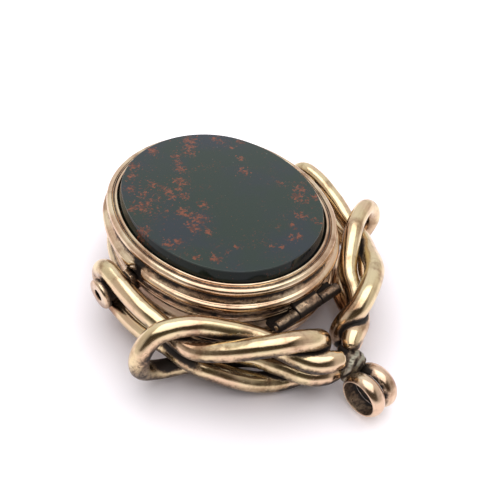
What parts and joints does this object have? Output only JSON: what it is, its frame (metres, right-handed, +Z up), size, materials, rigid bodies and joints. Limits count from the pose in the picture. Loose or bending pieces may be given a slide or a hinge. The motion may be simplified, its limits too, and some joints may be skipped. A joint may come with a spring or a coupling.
{
  "type": "pocket watch fob",
  "caption": "Swivel fob for a pocket watch: an oval hinged locket set with a flat stone on each side, spinning in a stirrup of knotted wire with a double bail.",
  "frame": {"origin": "centre of the lower stone's flat face, which the fob rests on, below the swivel axis", "axes": "+X along the swivel pins to the right-hand pin, -Y towards the bail, +Z up out of the upper stone"},
  "size_m": [0.0304, 0.0343, 0.0094],
  "materials": {
    "gold": "polished, worn rose and yellow gold",
    "pin_metal": "worn gold pin ends",
    "solder": "dull grey solder",
    "bloodstone": "polished opaque stone",
    "carnelian": "polished opaque stone"
  },
  "bodies": {
    "stirrup": {"left_bail_loop": "gold", "right_bail_loop": "gold", "left_pivot_loop": "gold", "right_pivot_loop": "gold", "left_bail_ring": "gold", "right_bail_ring": "gold", "bail_solder": "solder", "left_pivot_bush": "gold", "right_pivot_bush": "gold"},
    "case": {"body_wall": "gold", "body_bezel": "gold", "lower_stone": "carnelian", "body_plate": "gold", "closing_rim": "gold", "left_swivel_pin": "pin_metal", "right_swivel_pin": "pin_metal", "left_pivot_collar": "gold", "right_pivot_collar": "gold", "hinge_knuckle_left": "gold", "hinge_knuckle_right": "gold", "hinge_pin": "pin_metal"},
    "lid": {"lid_wall": "gold", "lid_bezel": "gold", "bloodstone": "bloodstone", "lid_plate": "gold", "hinge_knuckle_centre": "gold"}
  },
  "joints": [
    {"name": "case_swivel", "type": "hinge", "parent": "stirrup", "child": "case", "pos_m": [0, 0, 0.00472], "axis": [1, 0, 0], "continuous": true},
    {"name": "lid_hinge", "type": "hinge", "parent": "case", "child": "lid", "pos_m": [0, -0.01225, 0.00513], "axis": [1, 0, 0], "range_deg": [0, 70]}
  ]
}
